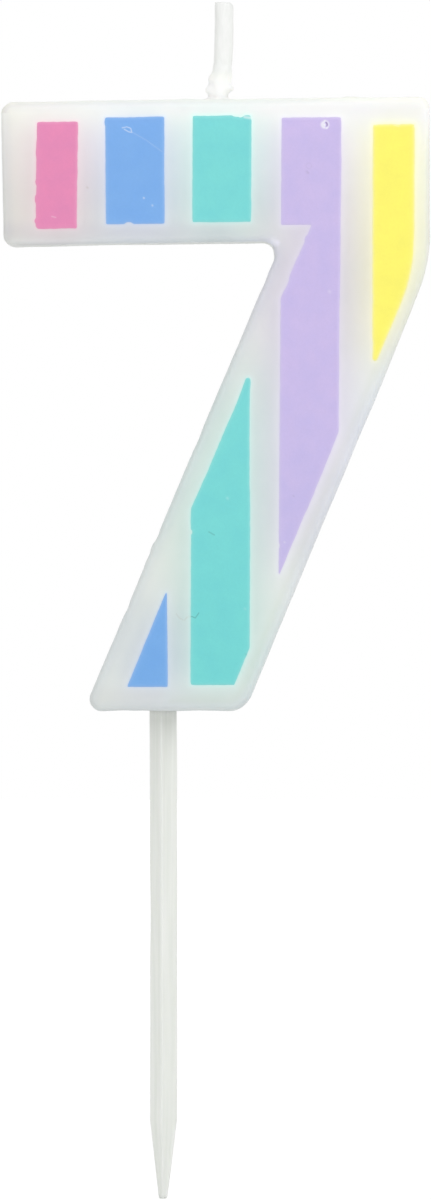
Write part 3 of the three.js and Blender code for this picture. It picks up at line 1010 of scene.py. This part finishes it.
def wax_mesh():
    outline = trimmed(resampled(DRAWN_WAX, WAX_STEP))
    out = outward(outline)
    rings = [at_depth(outline - out * inset, depth) for inset, depth in wax_profile()]
    shell = Shell()
    shell.add_strips(*rings)
    for ring, by_films in ((rings[0], True), (rings[-1], False)):
        border = ring[:, [0, 2]]
        points, faces = filled(border, face_points(border, by_films))
        shell.add(at_depth(points, ring[0][1]), faces)
    mesh = shell.built("wax_body")
    refine_by_wick(mesh)
    points = vertices_of(mesh, "co")
    flat = points[:, [0, 2]]
    rise, tint = marked(flat)
    covered = np.max([inside_by(flat, film, NEAR_FILM) for film in FILM_OUTLINES.values()], axis=0)
    bare_front = (points[:, 1] < WAX_FRONT + ON_PLANE) & (covered < 0)
    height = uneven(points, WAX_UNEVENNESS) + rim_flaws(points) + np.where(bare_front, rise, 0)
    drawn = drawn_up(swollen(mesh, points, height))
    move_to(mesh, drawn)
    above_bar = drawn[:, 2] - WICK_FOOT_HEIGHT
    clear = np.where(points[:, 1] < 0, eased(-covered, *CLEAR_FROM_FILM), 1)
    shade = wax_shade(points)
    shade += (COLLAR_TOP_SHADE - shade) * eased(above_bar, *COLLAR_FADES)[:, None]
    keep_value(mesh, "clear", clear * (1 - eased(above_bar, *CLEAR_BELOW)))
    keep_colour(mesh, "shade", shade)
    keep_value(mesh, "tint", np.where(points[:, 1] < WAX_FRONT + WAX_EDGE_ROUND, tint, 0))
    return mesh


# Wick

def wick_relief(around, height):
    """Ridges of a round plait, softened by the wax that coats it"""
    turn = height / WICK_PLAIT * 2 * math.pi
    one = np.sin(WICK_STRANDS * around + turn)
    other = np.sin(WICK_STRANDS * around - turn)
    return WICK_RELIEF * (np.maximum(one, other) - WICK_RIDGE_MIDDLE)


def wick_stations():
    """Share of the radius and height, from the root up over the rounded top"""
    stations = [(1, height) for height in np.arange(WICK_ROOT, WICK_TOP, WICK_STEP)]
    for share in WICK_CROWN_RINGS:
        stations.append((share, WICK_TOP + WICK_CROWN * math.sqrt(1 - share * share)))
    return stations


def wick_ring(around, share, height):
    waist = WICK_WAIST * (1 - eased(height, *WICK_WAIST_ENDS))
    radius = share * (WICK_RADIUS - waist + wick_relief(around, height))
    x = radius * np.cos(around)
    near_top = np.clip((height - WICK_TOP + WICK_CUT_FROM) / WICK_CUT_FROM, 0, 1) ** 2
    slant = -x * math.tan(WICK_CUT) * near_top
    slant -= WICK_SPENT_CORNER * np.clip(x / WICK_RADIUS, 0, 1) ** 4 * near_top ** 4
    z = WICK_FOOT_HEIGHT + height + slant
    return np.stack([wick_line(height) + x, radius * np.sin(around), z], axis=1)


def wick_mesh():
    around = np.linspace(0, 2 * math.pi, WICK_SIDES, endpoint=False)
    mesh = tube("wick", [wick_ring(around, share, height) for share, height in wick_stations()])
    points = vertices_of(mesh, "co")
    above_fray = points[:, 2] - WICK_FOOT_HEIGHT - WICK_TOP + WICK_FRAY_FROM
    fray = np.clip(above_fray / WICK_FRAY_FROM, 0, 1)
    height = uneven(points, WICK_UNEVENNESS) + fray * uneven(points, WICK_FRAY)
    move_to(mesh, swollen(mesh, points, height))
    return mesh


# Pick

def rounded_square(radius):
    """The pick's section as x + yi. The radius reaches to where its sides would meet."""
    corner_round = min(PICK_CORNER_ROUND, radius * PICK_CORNER_SHARE)
    turns = np.linspace(-math.pi / 4, math.pi / 4, PICK_CORNER_STEPS + 1)
    corner = radius - corner_round * math.sqrt(2) + corner_round * np.exp(1j * turns)
    side = np.linspace(corner[-1], corner[0] * 1j, PICK_SIDE_STEPS + 1)[1:-1]
    quarter = np.concatenate([corner, side]) * np.exp(1j * (PICK_TURN - math.pi / 2))
    return np.concatenate([quarter * 1j ** turn for turn in range(4)])


def pick_stations():
    """Height and radius, from the tip up"""
    low, high = (corner.z for corner in PICK_BOX)
    stations = [(low + above * MM, PICK_TIP_RADIUS * share) for above, share in PICK_END]
    taper = np.linspace((low, PICK_TIP_RADIUS), (low + PICK_TAPER, PICK_RADIUS), PICK_TAPER_STEPS + 1)
    stations += list(taper[1:])
    shaft = np.arange(low + PICK_TAPER + PICK_STEP, BARB_TOPS[0] - BARB_LENGTH, PICK_STEP)
    stations += [(z, PICK_RADIUS) for z in shaft]
    for top in BARB_TOPS:
        foot = top - BARB_LENGTH
        stations += [(foot, PICK_RADIUS), (foot, PICK_RADIUS + BARB_RISE), (top, PICK_RADIUS)]
    stations.append((high, PICK_RADIUS))
    return stations


def pick_middle(height):
    """x of the pick's middle at a height, or at many"""
    return np.interp(height, *np.array(PICK_BEND).T * MM)


def pick_dim(points):
    """How much painted shadow and shade darken the pick at each point, less where painted light brightens
    it
    """
    x, y, z = points.T
    below_wax = np.maximum(WAX_BOX[0].z - z, 0)
    from_ridge = np.arctan2(x - pick_middle(z), -y) - PICK_TURN
    dim = PICK_DIM_BY_WAX * fading(below_wax, PICK_DIM_REACH)
    dim -= PICK_LESS_DIM * fading(below_wax, PICK_LESS_DIM_REACH)
    dim += PICK_DIM_TIP * (1 - eased(z - PICK_BOX[0].z, 0, PICK_TAPER))
    dim += PICK_DIM_RIDGE * bell(from_ridge, PICK_RIDGE_SPREAD)
    return dim - PICK_LIT_RIGHT * eased(from_ridge, *PICK_LIT_FROM) * (y < PICK_LIT_DEPTH)


def pick_mesh():
    rings = []
    for height, radius in pick_stations():
        square = rounded_square(radius)
        x = square.real + pick_middle(height)
        rings.append(np.stack([x, square.imag, np.full(len(square), height)], axis=1))
    mesh = tube("pick", rings)
    points = vertices_of(mesh, "co")
    from_tip = points[:, 2] - PICK_BOX[0].z
    height = uneven(points * PICK_STREAKS, PICK_UNEVENNESS) * np.clip(from_tip / PICK_EVEN_TIP, 0, 1)
    move_to(mesh, swollen(mesh, points, height))
    keep_value(mesh, "dim", pick_dim(points))
    return mesh


# Materials

class Nodes:
    """Short ways to add and join the nodes of a material or of the world"""

    def __init__(self, owner):
        owner.use_nodes = True
        self.owner = owner
        self.tree = owner.node_tree

    def fill(self, node, inputs):
        """Sets each input to a value, or joins another node's output to it"""
        for name, value in inputs.items():
            socket = node.inputs[name]
            if isinstance(value, bpy.types.NodeSocket):
                self.tree.links.new(value, socket)
            else:
                socket.default_value = (*value, 1) if socket.type == "RGBA" else value

    def add(self, kind, inputs=None, output=0, **settings):
        node = self.tree.nodes.new("ShaderNode" + kind)
        for name, value in settings.items():
            setattr(node, name, value)
        self.fill(node, inputs or {})
        return node.outputs[output]

    def attribute(self, name, output="Fac"):
        return self.add("Attribute", output=output, attribute_name=name)

    def noise(self, size, detail=3, stretch=(1, 1, 1)):
        """Noise with features of this size, in metres, drawn out by the stretch"""
        place = self.add("TexCoord", output="Object")
        scaled = self.add("VectorMath", {0: place, 1: [1 / s for s in stretch]}, operation="MULTIPLY")
        return self.add("TexNoise", {"Vector": scaled, "Scale": 1 / size, "Detail": detail})

    def between(self, share, first, second, span=NOISE_SPAN):
        """Runs from one colour to the other as the share goes over its span"""
        colour = self.add("ValToRGB", {"Fac": share})
        for stop, position, end in zip(colour.node.color_ramp.elements, span, (first, second)):
            stop.position = position
            stop.color = (*end, 1)
        return colour

    def ranged(self, share, first, second, span=NOISE_SPAN):
        """Runs from one number to the other as the share goes over its span"""
        ends = dict(zip(("From Min", "From Max", "To Min", "To Max"), (*span, first, second)))
        return self.add("MapRange", {"Value": share, **ends})

    def mixed(self, share, first, second, blend="MIX"):
        inputs = {0: share, 6: first, 7: second}
        return self.add("Mix", inputs, output=2, data_type="RGBA", blend_type=blend)

    def below_nought(self, value):
        """How far a value lies below nought, and at most one"""
        return self.add("Math", {0: value, 1: -1}, operation="MULTIPLY", use_clamp=True)

    def bump(self, height, depth):
        return self.add("Bump", {"Height": height, "Strength": 1, "Distance": depth})

    def finished(self, **inputs):
        """The material, with these inputs of its shader filled"""
        sockets = {name.replace("_", " "): value for name, value in inputs.items()}
        self.fill(self.tree.nodes["Principled BSDF"], sockets)
        return self.owner


def material_nodes(name):
    return Nodes(bpy.data.materials.new(name))


def scaled(colour, factors):
    """A colour times one factor, or times one each for red, green and blue"""
    return tuple(min(c * factor, 1) for c, factor in zip(colour, np.broadcast_to(factors, 3)))


def paler(colour, share):
    """A colour with a share of pale wax in it"""
    return tuple(c + (PALE_WAX - c) * share for c in colour)


def wax_material():
    nodes = material_nodes("wax")
    cloudy = nodes.between(nodes.noise(7 * MM), *WAX_COLOURS, span=(0.35, 0.65))
    # The shade attribute paints light and shade, and the films' coloured light, into the wax's colour
    shaded = nodes.mixed(1, cloudy, nodes.attribute("shade", "Color"), "MULTIPLY")
    marks = nodes.below_nought(nodes.attribute("tint"))
    return nodes.finished(
        Base_Color=nodes.mixed(marks, shaded, DARK_MARK_ON_WAX),
        Roughness=nodes.ranged(nodes.noise(1.8 * MM), 0.38, 0.50),
        Subsurface_Weight=nodes.attribute("clear"),
        Subsurface_Scale=0.55 * MM,
        Subsurface_Radius=(1.0, 0.97, 0.94),
        IOR=1.43,
        Normal=nodes.bump(nodes.noise(0.5 * MM, detail=5), 0.006 * MM),
    )


def paint_material(name, colour, rim_paleness):
    nodes = material_nodes(name + "_paint")
    patchy = nodes.between(nodes.noise(2.2 * MM), *(scaled(colour, patch) for patch in PAINT_PATCHES))
    grain = nodes.ranged(nodes.noise(0.22 * MM, detail=4), 0.0, 0.22)
    grained = nodes.mixed(grain, patchy, scaled(colour, PAINT_GRAIN))
    # The shade attribute paints shade towards the foot and light under the top edge
    shaded = nodes.mixed(1, grained, nodes.attribute("shade", "Color"), "MULTIPLY")
    edged = nodes.mixed(nodes.attribute("rim"), shaded, paler(colour, rim_paleness))
    tint = nodes.attribute("tint")
    lighter = nodes.mixed(tint, edged, PALE_MARK)
    return nodes.finished(
        Base_Color=nodes.mixed(nodes.below_nought(tint), lighter, scaled(colour, DARK_MARK)),
        Roughness=nodes.ranged(nodes.noise(0.9 * MM), 0.36, 0.48),
        IOR=1.45,
        Normal=nodes.bump(nodes.noise(0.16 * MM, detail=4), 0.006 * MM),
    )


def wick_material():
    nodes = material_nodes("waxed_cotton")
    fibres = nodes.noise(0.25 * MM, detail=4, stretch=(1, 1, 6))
    return nodes.finished(
        Base_Color=nodes.between(fibres, *WICK_COLOURS),
        Roughness=nodes.ranged(nodes.noise(0.6 * MM), 0.5, 0.7),
        IOR=1.4,
        Normal=nodes.bump(fibres, 0.012 * MM),
    )


def pick_material():
    nodes = material_nodes("pick_plastic")
    streaky = nodes.between(nodes.noise(0.35 * MM, stretch=(1, 1, 30)), *PICK_COLOURS)
    return nodes.finished(
        # The dim attribute paints the shadow under the wax, shade on the ridge and light towards the
        # right corner
        Base_Color=nodes.mixed(nodes.attribute("dim"), streaky, BLACK),
        Roughness=nodes.ranged(nodes.noise(1.2 * MM, stretch=(1, 1, 4)), 0.48, 0.60),
        Subsurface_Weight=0.6,
        Subsurface_Scale=0.8 * MM,
        Subsurface_Radius=(1.0, 1.0, 0.95),
        IOR=1.49,
        Normal=nodes.bump(nodes.noise(0.3 * MM, detail=4, stretch=(1, 1, 12)), 0.008 * MM),
    )


# Stage: a pale floor that shows as white and keeps the shadow, soft lamps, and the camera

def seen_directly(nodes):
    """One where a ray comes from the camera, a reflection or through glass, and nought otherwise"""
    path = nodes.add("LightPath").node
    total = path.outputs["Is Camera Ray"]
    for name in ("Is Glossy Ray", "Is Transmission Ray"):
        total = nodes.add("Math", {0: total, 1: path.outputs[name]}, operation="MAXIMUM")
    return total


def make_world():
    nodes = Nodes(bpy.data.worlds.new("studio"))
    strength = nodes.ranged(seen_directly(nodes), WORLD_LEVEL, 1, span=(0, 1))
    nodes.fill(nodes.tree.nodes["Background"], {"Color": WHITE, "Strength": strength})
    bpy.context.scene.world = nodes.owner


def floor_material():
    nodes = material_nodes("floor")
    place = nodes.add("TexCoord", output="Object")
    away = nodes.add("VectorMath", {0: place}, output="Value", operation="LENGTH")
    glow = nodes.ranged(away, *FLOOR_GLOW, span=FLOOR_GLOW_FROM)
    shown = nodes.add("Math", {0: glow, 1: seen_directly(nodes)}, operation="MULTIPLY")
    matt = nodes.add("BsdfDiffuse", {"Color": FLOOR_GREY})
    both = nodes.add("AddShader", {0: matt, 1: nodes.add("Emission", {"Strength": shown})})
    nodes.fill(nodes.tree.nodes["Material Output"], {"Surface": both})
    nodes.tree.nodes.remove(nodes.tree.nodes["Principled BSDF"])
    return nodes.owner


def make_floor():
    mesh = bpy.data.meshes.new("floor")
    corners = [(x * FLOOR_HALF, y * FLOOR_HALF, 0) for x, y in ((-1, -1), (1, -1), (1, 1), (-1, 1))]
    mesh.from_pydata(corners, [], [(0, 1, 2, 3)])
    mesh.materials.append(floor_material())
    floor = placed("floor", mesh)
    floor.location.z = CAD_BOX[0].z - FLOOR_GAP


def make_lamp(name, place, width, height, level):
    """A soft box that lights a white surface facing it to this level"""
    way = Vector(LAMP_TARGET) - Vector(place)
    data = bpy.data.lights.new(name, "AREA")
    data.shape = "RECTANGLE"
    data.size = width
    data.size_y = height
    data.energy = level * math.pi ** 2 * way.length_squared
    light = placed(name, data)
    light.location = place
    light.rotation_euler = way.to_track_quat("-Z", "Y").to_euler()


def make_camera():
    data = bpy.data.cameras.new("camera")
    data.lens = LENS
    data.sensor_width = SENSOR
    data.clip_start = CLIP_START
    data.clip_end = CLIP_END
    camera = placed("camera", data)
    distance = PICTURE_HEIGHT * LENS / SENSOR
    camera.location = (PICTURE_CENTRE[0], FOCUS_DEPTH - distance, PICTURE_CENTRE[1])
    camera.rotation_euler = (math.pi / 2, 0, 0)
    bpy.context.scene.camera = camera


show("wax_body", wax_mesh(), wax_material())
show("wick", wick_mesh(), wick_material())
show("pick", pick_mesh(), pick_material())
PAINTS = {name: paint_material(name, colour, RIM_PALENESS[name]) for name, colour in PALETTE.items()}
for node, (colour, *_) in FILMS.items():
    show(node, film_mesh(node), PAINTS[colour])

make_floor()
make_world()
for settings in LAMPS:
    make_lamp(*settings)
make_camera()
bpy.context.scene.view_settings.view_transform = "Standard"
